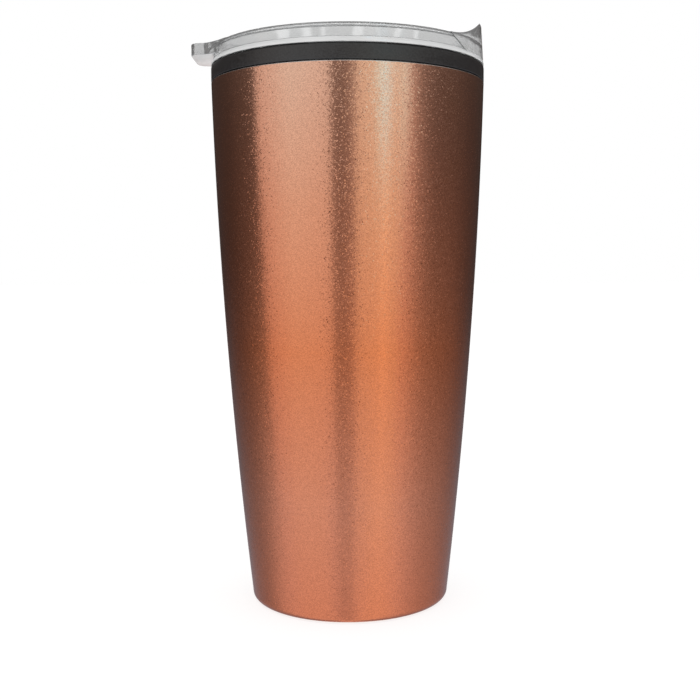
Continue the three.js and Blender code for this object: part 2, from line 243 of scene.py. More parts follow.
def fill_ramp(ramp, stops, low, high):
    """Puts (place, brightness) or (place, colour) stops on a colour ramp that spans low to high."""
    elements = ramp.elements
    while len(elements) < len(stops):
        elements.new(0.5)
    for element, (place, value) in zip(elements, stops):
        element.position = (place - low) / (high - low)
        element.color = (value, value, value, 1) if isinstance(value, float) else (*value, 1)


def studio_world():
    """The room as its rings and card: what is mirrored, what shows through, and white elsewhere."""
    world = bpy.data.worlds.new("studio")
    world.use_nodes = True
    world.cycles.sampling_method = "NONE"
    nodes, links = world.node_tree.nodes, world.node_tree.links
    nodes.clear()

    def maths(operation, *values):
        made = nodes.new("ShaderNodeMath")
        made.operation = operation
        for socket, value in zip(made.inputs, values):
            if isinstance(value, (int, float)):
                socket.default_value = value
            else:
                links.new(value, socket)
        return made.outputs[0]

    def stops(factor, values, low, high):
        made = nodes.new("ShaderNodeValToRGB")
        fill_ramp(made.color_ramp, values, low, high)
        links.new(factor, made.inputs["Fac"])
        return made.outputs["Color"]

    def mixed(factor, first, second):
        made = nodes.new("ShaderNodeMix")
        made.data_type = "RGBA"
        links.new(factor, made.inputs["Factor"])
        for socket, value in ((made.inputs["A"], first), (made.inputs["B"], second)):
            if isinstance(value, tuple):
                socket.default_value = value
            else:
                links.new(value, socket)
        return made.outputs["Result"]

    white = (1.0, 1.0, 1.0, 1.0)
    parts = nodes.new("ShaderNodeSeparateXYZ")
    links.new(nodes.new("ShaderNodeTexCoord").outputs["Generated"], parts.inputs[0])
    x, y, z = parts.outputs
    turn = maths("ARCTAN2", x, maths("MULTIPLY", y, -1.0))
    turn = maths("ADD", maths("DIVIDE", turn, 2 * math.pi), 0.5)
    rise = maths("ADD", maths("DIVIDE", maths("ARCSINE", z), math.pi), 0.5)
    mirrored = mixed(
        stops(rise, RISE_OF_ABOVE, -90, 90),
        stops(turn, cast(RING_LEVEL, SHADE_LEVEL), -180, 180),
        stops(turn, cast(RING_ABOVE, SHADE_ABOVE), -180, 180),
    )
    below = stops(turn, cast(RING_BELOW, SHADE_BELOW), -180, 180)
    mirrored = mixed(stops(rise, RISE_OF_BELOW, -90, 90), mirrored, below)
    ceiling = maths(
        "MULTIPLY",
        stops(rise, RISE_OF_CEILING, -90, 90),
        stops(turn, SIDE_OF_CEILING, -180, 180),
    )
    mirrored = mixed(ceiling, mirrored, white)

    away = maths("DEGREES", maths("ARCTAN2", x, y))
    half = CARD_REPEAT / 2
    away = maths("DIVIDE", maths("WRAP", away, half, -half), CARD_REPEAT)
    card = stops(maths("ADD", away, 0.5), CARD_STRIPS, -half, half)
    card = mixed(stops(rise, CARD_RISE, -90, 90), white, card)
    dark_card = (CARD_DARK, CARD_DARK, CARD_DARK, 1.0)
    card = mixed(stops(rise, RISE_OF_DARK, -90, 90), card, dark_card)

    path = nodes.new("ShaderNodeLightPath")
    through = path.outputs["Is Transmission Ray"]
    glossy = maths("MULTIPLY", path.outputs["Is Glossy Ray"], maths("SUBTRACT", 1.0, through))
    seen = mixed(through, mixed(glossy, white, mirrored), card)
    background = nodes.new("ShaderNodeBackground")
    links.new(seen, background.inputs["Color"])
    output = nodes.new("ShaderNodeOutputWorld")
    links.new(background.outputs[0], output.inputs["Surface"])
    return world


bpy.context.scene.world = studio_world()

# The floor is a pale sheet that glows faintly, so that it meets the white room with no line.
FLOOR_SIZE = 12.0
FLOOR_TONE = 0.3
FLOOR_GLOW = 0.78

bpy.ops.object.select_all(action="DESELECT")
bpy.ops.mesh.primitive_plane_add(size=FLOOR_SIZE, location=(0, 0, 0))
floor = bpy.context.object
floor.name = "floor"
floor.visible_glossy = False
floor_paint = bpy.data.materials.new("pale_floor")
floor_paint.use_nodes = True
floor_shader = floor_paint.node_tree.nodes["Principled BSDF"]
floor_shader.inputs["Base Color"].default_value = (FLOOR_TONE, FLOOR_TONE, FLOOR_TONE, 1)
floor_shader.inputs["Roughness"].default_value = 1.0
floor_shader.inputs["Specular IOR Level"].default_value = 0.0
floor_shader.inputs["Emission Color"].default_value = (1, 1, 1, 1)
floor_shader.inputs["Emission Strength"].default_value = FLOOR_GLOW
floor.data.materials.append(floor_paint)

# ------------------------------------------------------------------------------------------------
# Outer shell
#
# Stainless steel tube, expanded to a long taper, necked in at the mouth and turned under to a foot
# ring. The outside has a metallic copper powder coat. Neck, mouth edge and foot ring stay bare.

mouth_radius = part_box("inner_liner")[1].x
collar_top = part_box("inner_liner")[1].z
SHELL_HEIGHT = 168.4 * MM
FOOT_RADIUS = 32.3 * MM
MOUTH_LEAN = 0.0257
SHELL_WALL = 0.5 * MM
FOOT_CORNER = 2.4 * MM
FOOT_RING_WIDTH = 2.6 * MM
FOOT_LIP = 3.4 * MM
MOUTH_EDGE = 0.22 * MM
COLLAR_SKIRT = 1.1 * MM
FIT_GAP = 0.3 * MM
TURN_STEPS = 160
SMOOTH_ANGLE = math.radians(32)
DOUBLES = MM / 500
SIDE_BOW = (mouth_radius - FOOT_RADIUS - MOUTH_LEAN * SHELL_HEIGHT) / SHELL_HEIGHT**2


def side_radius(height):
    """The tumbler's slightly bowed outside, at a height."""
    down = SHELL_HEIGHT - height
    return mouth_radius - MOUTH_LEAN * down - SIDE_BOW * down**2


def arc(radius_at, height_at, size, from_deg, to_deg, steps):
    """Points on a round corner of a section."""
    angles = [math.radians(from_deg + (to_deg - from_deg) * i / steps) for i in range(steps + 1)]
    return [(radius_at + size * math.cos(a), height_at + size * math.sin(a)) for a in angles]


def flank(radius_of, from_height, to_height, steps):
    """Points down or up a curved side of a section."""
    heights = [from_height + (to_height - from_height) * i / steps for i in range(steps + 1)]
    return [(radius_of(h), h) for h in heights]


def drawn(name, points):
    """Draws a line of edges through points, each one extruded from the last."""
    bpy.ops.object.select_all(action="DESELECT")
    bpy.ops.mesh.primitive_plane_add(size=MM, location=points[0])
    piece = bpy.context.object
    piece.name = name
    bpy.ops.object.transform_apply(location=True, rotation=False, scale=False)
    bpy.ops.object.mode_set(mode="EDIT")
    bpy.ops.mesh.select_all(action="SELECT")
    bpy.ops.mesh.merge(type="CENTER")
    for here, there in zip(points, points[1:]):
        step = tuple(b - a for a, b in zip(here, there))
        bpy.ops.mesh.extrude_vertices_move(TRANSFORM_OT_translate={"value": step})
    bpy.ops.mesh.select_all(action="SELECT")
    return piece


def turned(name, outline, closed=True):
    """Spins a section of (radius, height) points round the tumbler's axis."""
    path = outline + outline[:1] if closed else outline
    piece = drawn(name, [(radius, 0, height) for radius, height in path])
    bpy.ops.mesh.spin(steps=TURN_STEPS, angle=2 * math.pi, center=(0, 0, 0), axis=(0, 0, 1))
    bpy.ops.mesh.select_all(action="SELECT")
    bpy.ops.mesh.remove_doubles(threshold=DOUBLES)
    bpy.ops.mesh.normals_make_consistent(inside=False)
    bpy.ops.object.mode_set(mode="OBJECT")
    bpy.ops.object.shade_smooth_by_angle(angle=SMOOTH_ANGLE)
    return piece


def paint(name):
    """A new material: its node tree, its Principled shader and object coordinates."""
    material = bpy.data.materials.new(name)
    material.use_nodes = True
    tree = material.node_tree
    place = tree.nodes.new("ShaderNodeTexCoord").outputs["Object"]
    return material, tree, tree.nodes["Principled BSDF"], place


def noise(tree, place, size, detail):
    """Noise whose lumps are about size across."""
    made = tree.nodes.new("ShaderNodeTexNoise")
    made.inputs["Scale"].default_value = 1 / size
    made.inputs["Detail"].default_value = detail
    tree.links.new(place, made.inputs["Vector"])
    return made.outputs["Fac"]


def ramp(tree, factor, stops):
    """Turns a factor from 0 to 1 into the brightness or colour that its stops give."""
    made = tree.nodes.new("ShaderNodeValToRGB")
    fill_ramp(made.color_ramp, stops, 0.0, 1.0)
    tree.links.new(factor, made.inputs["Fac"])
    return made.outputs["Color"]


def bump(tree, height, depth, strength):
    """A normal that tips as if the surface rose by depth where height is 1."""
    made = tree.nodes.new("ShaderNodeBump")
    made.inputs["Distance"].default_value = depth
    made.inputs["Strength"].default_value = strength
    tree.links.new(height, made.inputs["Height"])
    return made.outputs["Normal"]


# Copper powder coat, with a grain in its tone and metal flakes that lie nearly flat except for a few.
# Its colour by height grows paler towards the mouth: a painted sheen of the light from above.
GRAIN_SIZE = 0.32 * MM
GRAIN_TONES = [(0.34, 0.80), (0.66, 1.15)]
FLAKE_SIZE = 0.26 * MM
FLAKE_TIPS = [(0.0, 0.01), (0.6, 0.04), (1.0, 0.34)]
COAT_ROUGHNESS = 0.15
# Copper's colour by height; its paler top is a painted sheen of the light from above.
COPPER_AND_SHEEN_BY_HEIGHT = [
    (0.0, (0.66, 0.205, 0.10)),
    (0.22, (0.665, 0.245, 0.134)),
    (0.36, (0.67, 0.230, 0.115)),
    (0.50, (0.685, 0.218, 0.094)),
    (0.76, (0.68, 0.305, 0.182)),
    (1.0, (0.69, 0.42, 0.30)),
]


def copper_coat_with_sheen():
    """Copper with a painted sheen by height, paler towards the mouth, and a normal tipped flake by
    flake.
    """
    material, tree, shader, place = paint("copper_coat_with_sheen")

    def vector_maths(operation, *values):
        made = tree.nodes.new("ShaderNodeVectorMath")
        made.operation = operation
        for socket, value in zip(made.inputs, values):
            if isinstance(value, tuple):
                socket.default_value = value
            else:
                tree.links.new(value, socket)
        return made.outputs[0]

    parts = tree.nodes.new("ShaderNodeSeparateXYZ")
    tree.links.new(place, parts.inputs[0])
    height = tree.nodes.new("ShaderNodeMath")
    height.operation = "DIVIDE"
    height.inputs[1].default_value = SHELL_HEIGHT
    tree.links.new(parts.outputs["Z"], height.inputs[0])
    # The colour by height, with its painted sheen towards the mouth.
    shade = ramp(tree, height.outputs[0], COPPER_AND_SHEEN_BY_HEIGHT)
    grain = ramp(tree, noise(tree, place, GRAIN_SIZE, detail=2.0), GRAIN_TONES)
    tree.links.new(vector_maths("MULTIPLY", shade, grain), shader.inputs["Base Color"])

    flakes = tree.nodes.new("ShaderNodeTexVoronoi")
    flakes.inputs["Scale"].default_value = 1 / FLAKE_SIZE
    tree.links.new(place, flakes.inputs["Vector"])
    tip = vector_maths("SUBTRACT", flakes.outputs["Color"], (0.5, 0.5, 0.5))
    lot = tree.nodes.new("ShaderNodeTexWhiteNoise")
    tree.links.new(flakes.outputs["Color"], lot.inputs["Vector"])
    far = ramp(tree, lot.outputs["Value"], FLAKE_TIPS)
    tipped = vector_maths("MULTIPLY", tip, far)
    facing = vector_maths("ADD", tree.nodes.new("ShaderNodeNewGeometry").outputs["Normal"], tipped)
    tree.links.new(vector_maths("NORMALIZE", facing), shader.inputs["Normal"])

    shader.inputs["Metallic"].default_value = 1.0
    shader.inputs["Roughness"].default_value = COAT_ROUGHNESS
    return material


STEEL_MARK = 1.5 * MM
STEEL_MARK_STRETCH = 12
STEEL_TONES = [(0.3, (0.42, 0.42, 0.41)), (0.7, (0.66, 0.66, 0.65))]
STEEL_GLOSS = [(0.3, 0.28), (0.7, 0.42)]


def bare_steel():
    """Satin steel with fine rings left by polishing on a lathe."""
    material, tree, shader, place = paint("bare_steel")
    stretched = tree.nodes.new("ShaderNodeMapping")
    stretched.inputs["Scale"].default_value = (1, 1, STEEL_MARK_STRETCH)
    tree.links.new(place, stretched.inputs["Vector"])
    marks = noise(tree, stretched.outputs[0], STEEL_MARK, detail=6.0)
    tree.links.new(ramp(tree, marks, STEEL_TONES), shader.inputs["Base Color"])
    tree.links.new(ramp(tree, marks, STEEL_GLOSS), shader.inputs["Roughness"])
    worn = bump(tree, marks, depth=0.01 * MM, strength=0.4)
    tree.links.new(worn, shader.inputs["Normal"])
    shader.inputs["Metallic"].default_value = 1.0
    return material


steel = bare_steel()
foot_middle = side_radius(FOOT_CORNER) - FOOT_CORNER
lip_outer = foot_middle - FOOT_RING_WIDTH
lip_inner = lip_outer - SHELL_WALL
neck_radius = mouth_radius - COLLAR_SKIRT - FIT_GAP
neck_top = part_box("outer_shell")[1].z
shoulder = SHELL_HEIGHT - SHELL_WALL

shell = turned(
    "shell_coated",
    [(neck_radius - SHELL_WALL, neck_top), (neck_radius, neck_top), (neck_radius, SHELL_HEIGHT)]
    + arc(mouth_radius - MOUTH_EDGE, SHELL_HEIGHT - MOUTH_EDGE, MOUTH_EDGE, 90, 2, 5)
    + flank(side_radius, SHELL_HEIGHT - 2 * MOUTH_EDGE, FOOT_CORNER + 0.6 * MM, 40)
    + arc(foot_middle, FOOT_CORNER, FOOT_CORNER, -5, -90, 10)
    + arc(lip_outer, SHELL_WALL, SHELL_WALL, -90, -180, 3)
    + [(lip_inner, FOOT_LIP), (lip_outer, FOOT_LIP), (lip_outer, SHELL_WALL)]
    + arc(foot_middle, FOOT_CORNER, FOOT_CORNER - SHELL_WALL, -90, -10, 5)
    + flank(lambda h: side_radius(h) - SHELL_WALL, FOOT_CORNER + MM, shoulder - MM, 20)
    + [(neck_radius - SHELL_WALL, shoulder)],
)
shell.data.materials.append(copper_coat_with_sheen())
shell.data.materials.append(steel)
coat_top = SHELL_HEIGHT - 0.9 * MOUTH_EDGE
coat_inner = foot_middle - FOOT_RING_WIDTH / 2
for face in shell.data.polygons:
    out = math.hypot(face.center.x, face.center.y)
    on_side = out > side_radius(face.center.z) - SHELL_WALL / 2
    coated = face.center.z < coat_top and out > coat_inner
    round_foot = face.center.z < FOOT_CORNER and face.normal.z < 0.2
    face.material_index = 0 if coated and (on_side or round_foot) else 1
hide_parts("outer_shell")
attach(shell, "cup")

# ------------------------------------------------------------------------------------------------
# Base disc
#
# Pressed from thin steel sheet with a dished middle and a turned-up edge, and welded inside the
# foot ring.

BASE_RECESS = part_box("base_disc")[0].z
BASE_WALL = 0.5 * MM
BASE_STEP = 0.7 * MM
BASE_MIDDLE = 15.0 * MM
BASE_SLOPE = 2.0 * MM
BASE_CORNER = 0.8 * MM
BEND_RUN = 0.4 * MM
BEND_RISE = 0.05 * MM

base_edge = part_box("base_disc")[1].x
base_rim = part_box("base_disc")[1].z
base_high = BASE_RECESS + BASE_STEP
slope_top = BASE_MIDDLE + BASE_SLOPE
base_disc = turned(
    "base_disc_pressed",
    [(0, BASE_RECESS), (BASE_MIDDLE - BEND_RUN, BASE_RECESS), (BASE_MIDDLE, BASE_RECESS + BEND_RISE)]
    + [(slope_top, base_high - BEND_RISE), (slope_top + BEND_RUN, base_high)]
    + arc(base_edge - BASE_CORNER, base_high + BASE_CORNER, BASE_CORNER, -90, 0, 5)
    + [(base_edge, base_rim), (base_edge - BASE_WALL, base_rim)]
    + arc(base_edge - BASE_CORNER, base_high + BASE_CORNER, BASE_CORNER - BASE_WALL, 0, -90, 3)
    + [(slope_top, base_high + BASE_WALL), (BASE_MIDDLE, BASE_RECESS + BASE_WALL)]
    + [(0, BASE_RECESS + BASE_WALL)],
    closed=False,
)
base_disc.data.materials.append(steel)
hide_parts("base_disc")
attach(base_disc, "cup")

# ------------------------------------------------------------------------------------------------
# Liner cushion
#
# A disc of grey closed-cell foam between liner and base disc. It is cut from sheet, so its edge is
# square with only a slight give.

CUSHION_SWELL = 0.3 * MM
FOAM_CELL = 0.5 * MM
FOAM_TONES = [(0.1, (0.20, 0.20, 0.21)), (0.7, (0.36, 0.36, 0.37))]


def grey_foam():
    """Matt foam with small cells."""
    material, tree, shader, place = paint("grey_foam")
    cells = tree.nodes.new("ShaderNodeTexVoronoi")
    cells.inputs["Scale"].default_value = 1 / FOAM_CELL
    tree.links.new(place, cells.inputs["Vector"])
    tone = ramp(tree, cells.outputs["Distance"], FOAM_TONES)
    tree.links.new(tone, shader.inputs["Base Color"])
    pitted = bump(tree, cells.outputs["Distance"], depth=0.1 * MM, strength=0.6)
    tree.links.new(pitted, shader.inputs["Normal"])
    shader.inputs["Roughness"].default_value = 0.95
    return material


cushion_low, cushion_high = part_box("liner_cushion")
cushion_radius = cushion_high.x - CUSHION_SWELL
cushion_middle = (cushion_low.z + cushion_high.z) / 2
cushion = turned(
    "liner_cushion_foam",
    [(0, cushion_low.z), (cushion_radius, cushion_low.z)]
    + [(cushion_high.x, cushion_middle), (cushion_radius, cushion_high.z), (0, cushion_high.z)],
    closed=False,
)
cushion.data.materials.append(grey_foam())
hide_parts("liner_cushion")
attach(cushion, "cup")

# ------------------------------------------------------------------------------------------------
# Liner with collar
#
# One moulding of black polypropylene with a fine satin grain. The cup hangs inside the shell, and
# its collar folds down over the shell's neck, flush with the coat outside.

LINER_GAP = 2.2 * MM
LINER_WALL = 1.8 * MM
LINER_FLOOR = 2.0 * MM
LINER_CORNER = 4.0 * MM
COLLAR_ROOF = 1.4 * MM
COLLAR_ROUND = 0.5 * MM
SEAT_STEP = 0.24 * MM
SEAT_INSET = 0.5 * MM
COLLAR_FOOT_ROUND = 0.25 * MM
BLACK_GRAIN = 0.4 * MM
BLACK_TONES = [(0.32, 0.004), (0.68, 0.019)]
BLACK_GLOSS = [(0.3, 0.34), (0.7, 0.46)]
# A painted shade: the collar's top face under the lid's flange turns this black, for the dark gap
# there.
SEAT_PAINTED_SHADE = 0.002
SEAT_SHADE_BLEND = 0.02 * MM
RIM_ROUND = 0.7 * MM


def liner_outer(height):
    """The liner's outside, an air gap within the shell."""
    return side_radius(height) - SHELL_WALL - LINER_GAP


def liner_inner(height):
    return liner_outer(height) - LINER_WALL


def above(tree, value, start, end):
    """0 up to start and 1 from end."""
    made = tree.nodes.new("ShaderNodeMapRange")
    made.inputs["From Min"].default_value = start
    made.inputs["From Max"].default_value = end
    tree.links.new(value, made.inputs["Value"])
    return made.outputs["Result"]


def black_plastic():
    """Satin black moulding; its top face under the lid's flange is matt, and blacker by a painted shade
    of the dark gap there.
    """
    material, tree, shader, place = paint("black_plastic")
    grain = noise(tree, place, BLACK_GRAIN, detail=2.0)
    parts = tree.nodes.new("ShaderNodeSeparateXYZ")
    tree.links.new(place, parts.inputs[0])
    # Above the collar's top the colour turns to a painted shade of the dark gap under the lid, and it
    # is matt there.
    shaded_seat = above(tree, parts.outputs["Z"], collar_top - SEAT_SHADE_BLEND, collar_top + SEAT_SHADE_BLEND)
    tones_and_seat_shade = tree.nodes.new("ShaderNodeMix")
    tones_and_seat_shade.data_type = "RGBA"
    tree.links.new(shaded_seat, tones_and_seat_shade.inputs["Factor"])
    tree.links.new(ramp(tree, grain, BLACK_TONES), tones_and_seat_shade.inputs["A"])
    tones_and_seat_shade.inputs["B"].default_value = (SEAT_PAINTED_SHADE, SEAT_PAINTED_SHADE, SEAT_PAINTED_SHADE, 1)
    tree.links.new(tones_and_seat_shade.outputs["Result"], shader.inputs["Base Color"])
    gloss = tree.nodes.new("ShaderNodeMix")
    gloss.data_type = "RGBA"
    tree.links.new(shaded_seat, gloss.inputs["Factor"])
    tree.links.new(ramp(tree, grain, BLACK_GLOSS), gloss.inputs["A"])
    gloss.inputs["B"].default_value = (1.0, 1.0, 1.0, 1)
    tree.links.new(gloss.outputs["Result"], shader.inputs["Roughness"])
    grained = bump(tree, grain, depth=0.05 * MM, strength=0.35)
    tree.links.new(grained, shader.inputs["Normal"])
    shader.inputs["Specular IOR Level"].default_value = 0.58
    return material


liner_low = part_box("inner_liner")[0].z
outer_corner = LINER_CORNER + LINER_WALL / 2
outer_centre = liner_low + outer_corner
inner_centre = liner_low + LINER_FLOOR + LINER_CORNER
groove_roof = collar_top - COLLAR_ROOF
collar_foot = SHELL_HEIGHT + FIT_GAP
seat_top = collar_top + SEAT_STEP
skirt_inner = mouth_radius - COLLAR_SKIRT
skirt_round_centre = mouth_radius - COLLAR_FOOT_ROUND

liner = turned(
    "liner_and_collar",
    [(0, liner_low)]
    + arc(liner_outer(outer_centre) - outer_corner, outer_centre, outer_corner, -90, 0, 8)
    + flank(liner_outer, outer_centre + 3 * MM, SHELL_HEIGHT - 2 * MM, 30)
    + [(liner_outer(SHELL_HEIGHT), groove_roof), (skirt_inner, groove_roof), (skirt_inner, collar_foot)]
    + arc(skirt_round_centre, collar_foot + COLLAR_FOOT_ROUND, COLLAR_FOOT_ROUND, -90, 0, 3)
    + arc(mouth_radius - COLLAR_ROUND, collar_top - COLLAR_ROUND, COLLAR_ROUND, 0, 90, 5)
    + [(mouth_radius - SEAT_INSET, collar_top), (mouth_radius - SEAT_INSET, seat_top)]
    + arc(liner_inner(SHELL_HEIGHT) + RIM_ROUND, seat_top - RIM_ROUND, RIM_ROUND, 90, 180, 5)
    + flank(liner_inner, SHELL_HEIGHT - MM, inner_centre + MM, 30)
    + arc(liner_inner(inner_centre) - LINER_CORNER, inner_centre, LINER_CORNER, 0, -90, 8)
    + [(0, liner_low + LINER_FLOOR)],
    closed=False,
)
liner.data.materials.append(black_plastic())
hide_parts("inner_liner")
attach(liner, "cup")

# ------------------------------------------------------------------------------------------------
# Rim seal
#
# A flat white silicone ring pinched between the collar's roof and the shell's neck. It is cut from
# tube and has slightly eased edges.

SEAL_EDGE = 0.15 * MM
WHITE_TONES = [(0.3, (0.62, 0.63, 0.63)), (0.7, (0.72, 0.73, 0.73))]
WHITE_DUST = 1.2 * MM


def white_silicone():
    """Matt white rubber with a trace of dust."""
    material, tree, shader, place = paint("white_silicone")
    dust = noise(tree, place, WHITE_DUST, detail=4.0)
    tree.links.new(ramp(tree, dust, WHITE_TONES), shader.inputs["Base Color"])
    dusted = bump(tree, dust, depth=0.03 * MM, strength=0.4)
    tree.links.new(dusted, shader.inputs["Normal"])
    shader.inputs["Roughness"].default_value = 0.6
    shader.inputs["Subsurface Weight"].default_value = 0.15
    shader.inputs["Subsurface Radius"].default_value = (0.002, 0.002, 0.002)
    shader.inputs["Subsurface Scale"].default_value = 0.5
    return material


def soft_edged_ring(name, inner, outer, low, high, edge):
    """A flat ring with rounded edges."""
    return turned(
        name,
        arc(outer - edge, low + edge, edge, -90, 0, 3)
        + arc(outer - edge, high - edge, edge, 0, 90, 3)
        + arc(inner + edge, high - edge, edge, 90, 180, 3)
        + arc(inner + edge, low + edge, edge, 180, 270, 3),
    )


silicone = white_silicone()
rim_seal_low, rim_seal_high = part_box("rim_seal")
rim_seal = soft_edged_ring(
    "rim_seal_ring",
    liner_outer(SHELL_HEIGHT) + FIT_GAP,
    rim_seal_high.x,
    rim_seal_low.z,
    rim_seal_high.z,
    SEAL_EDGE,
)
rim_seal.data.materials.append(silicone)
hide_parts("rim_seal")
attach(rim_seal, "cup")

# ------------------------------------------------------------------------------------------------
# Lid
#
# One clear moulding of rigid plastic: a flange that sits on the collar, a wall with a beaded top,
# a sip spout drawn up from the wall, a pry tab, and a dish whose plug reaches into the liner.

LID_SEAT = collar_top + FIT_GAP
LID_TOP = LID_SEAT + 5.8 * MM
FLANGE = 1.6 * MM
FLANGE_INSET = 0.1 * MM
FLANGE_ROUND = 0.18 * MM
FLANGE_SLANT = 0.45 * MM
WALL_FOOT_INSET = 0.8 * MM
WALL_TOP_INSET = 1.4 * MM
WALL_LEAN = 0.3
LID_WALL = 1.9 * MM
BEAD_HEIGHT = 1.0 * MM
BEAD_STAND = 0.45 * MM
TOP_ROUND = 0.7 * MM
PLUG_CLEARANCE = 0.6 * MM
PLUG_WALL = 2.6 * MM
DISH_DEPTH = 9.9 * MM
DECK_WALL = 1.8 * MM
DISH_CORNER = 1.4 * MM
DISH_DRAFT = 0.5 * MM
PLUG_CORNER = 0.8 * MM
LEDGE_WALL = 0.9 * MM
LEDGE_FILLET = 0.3 * MM
LEDGE_ROUND = 0.4 * MM
WALL_FILLET = 0.1 * MM
INNER_ROUND = 0.6 * MM
GROOVE_DEPTH = 1.1 * MM
GROOVE_UP = 2.2 * MM
GROOVE_HEIGHT = 3.4 * MM
EDGE_EASE = 0.3 * MM
SEAT_EASE = 0.3 * MM
CLEAR_TONES = [(0.3, (0.86, 0.87, 0.87)), (0.7, (0.91, 0.915, 0.915))]
FLOW_RIPPLE = 7 * MM
CLEARNESS = 0.84
# Milky clearness paints a highlight: the flange's face and the tab's underside show white with it.
MILKY_HIGHLIGHT_CLEARNESS = 0.25
ABSORPTION = 34.0
BEVEL_FROM = math.radians(40)
# How far a cutting shape stands past the piece, and how far a joined part sinks into it.
CUT_PAST = 1.0 * MM
SINK = 0.5 * MM


def clear_plastic(name, clearness):
    """Polished moulding with a faint flow ripple; a low clearness gives it a milky surface."""
    material, tree, shader, place = paint(name)
    ripple = noise(tree, place, FLOW_RIPPLE, detail=1.0)
    tree.links.new(ramp(tree, ripple, CLEAR_TONES), shader.inputs["Base Color"])
    rippled = bump(tree, ripple, depth=0.12 * MM, strength=0.25)
    tree.links.new(rippled, shader.inputs["Normal"])
    shader.inputs["Transmission Weight"].default_value = clearness
    shader.inputs["Roughness"].default_value = 0.03
    shader.inputs["IOR"].default_value = 1.49
    depth = tree.nodes.new("ShaderNodeVolumeAbsorption")
    depth.inputs["Color"].default_value = (0, 0, 0, 1)
    depth.inputs["Density"].default_value = ABSORPTION
    tree.links.new(depth.outputs[0], tree.nodes["Material Output"].inputs["Volume"])
    return material


def raised(name, outline, step):
    """Fills an outline of points and carries it along by a step, which makes a solid."""
    piece = drawn(name, outline)
    bpy.ops.mesh.remove_doubles(threshold=DOUBLES)
    bpy.ops.mesh.edge_face_add()
    bpy.ops.mesh.extrude_region_move(TRANSFORM_OT_translate={"value": step})
    bpy.ops.mesh.select_all(action="SELECT")
    bpy.ops.mesh.normals_make_consistent(inside=False)
    bpy.ops.object.mode_set(mode="OBJECT")
    return piece


def plate(name, outline, low, high):
    """A plate whose outline of (x, y) points is drawn from above."""
    return raised(name, [(x, y, low) for x, y in outline], (0, 0, high - low))


def finish_with(piece, kind, **settings):
    """Adds a modifier to a piece and applies it."""
    bpy.ops.object.select_all(action="DESELECT")
    piece.select_set(True)
    bpy.context.view_layer.objects.active = piece
    modifier = piece.modifiers.new("finish", kind)
    for key, value in settings.items():
        setattr(modifier, key, value)
    bpy.ops.object.modifier_apply(modifier="finish")


def ease_edges(piece, width, segments=3):
    """Rounds a piece's sharp edges."""
    sharp = {"limit_method": "ANGLE", "angle_limit": BEVEL_FROM}
    finish_with(piece, "BEVEL", width=width, segments=segments, **sharp)


def combine(piece, tool, operation):
    """Joins another shape to a piece or cuts it away, and removes the tool."""
    finish_with(piece, "BOOLEAN", operation=operation, solver="EXACT", object=tool)
    bpy.data.objects.remove(tool)


def clad(piece, *materials):
    """Smooths a joined-up piece, which is selected, and gives it its materials."""
    bpy.ops.object.shade_smooth_by_angle(angle=SMOOTH_ANGLE)
    piece.data.materials.clear()
    for material in materials:
        piece.data.materials.append(material)


def rounded_box(middle_x, length, width, corner):
    """Outline of a rectangle with round corners, along X and across Y."""
    right, left = middle_x + length / 2 - corner, middle_x - length / 2 + corner
    half = width / 2 - corner
    return (
        arc(right, half, corner, 0, 90, 6)
        + arc(left, half, corner, 90, 180, 6)
        + arc(left, -half, corner, 180, 270, 6)
        + arc(right, -half, corner, 270, 360, 6)
    )


def bend(start, pull, end, steps):
    """Points on a quadratic curve, without the first."""
    shares = [(i + 1) / steps for i in range(steps)]
    return [
        tuple((1 - t) ** 2 * a + 2 * t * (1 - t) * b + t * t * c for a, b, c in zip(start, pull, end))
        for t in shares
    ]


lid_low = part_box("lid_body")[0].z
flange_top = LID_SEAT + FLANGE
flange_radius = mouth_radius - FLANGE_INSET
wall_foot = mouth_radius - WALL_FOOT_INSET
wall_top = mouth_radius - WALL_TOP_INSET
wall_inside = wall_top - LID_WALL
bead_foot = LID_TOP - BEAD_HEIGHT
bead_radius = wall_top + BEAD_STAND
cove_pull = (wall_top - 0.05 * MM, bead_foot - 0.05 * MM)
cove_foot = bead_foot - 0.5 * MM
ledge_top = LID_SEAT + LEDGE_WALL
slant_foot = ledge_top - 0.15 * MM
plug_radius = liner_inner(SHELL_HEIGHT) - PLUG_CLEARANCE
dish_radius = plug_radius - PLUG_WALL
ledge_outer = wall_inside - DISH_DRAFT
ledge_inner = dish_radius + DISH_DRAFT
deck_top = LID_TOP - DISH_DEPTH
deck_low = deck_top - DECK_WALL
groove_low = lid_low + GROOVE_UP
groove_high = groove_low + GROOVE_HEIGHT
groove_floor = plug_radius - GROOVE_DEPTH


def flange_face(height):
    """The flange's outside, which leans in over its upper part."""
    share = (height - slant_foot) / (flange_top - slant_foot)
    return flange_radius - share * FLANGE_SLANT


def wall_outside(height):
    """The lid wall's outside, which leans in a little on its way up to the bead."""
    share = (height - flange_top) / (bead_foot - flange_top)
    return wall_foot - (wall_foot - wall_top) * WALL_LEAN * share


def wall_within(height):
    """The lid wall's inside, with a moulding draft."""
    return wall_inside - DISH_DRAFT * (LID_TOP - height) / (LID_TOP - ledge_top)


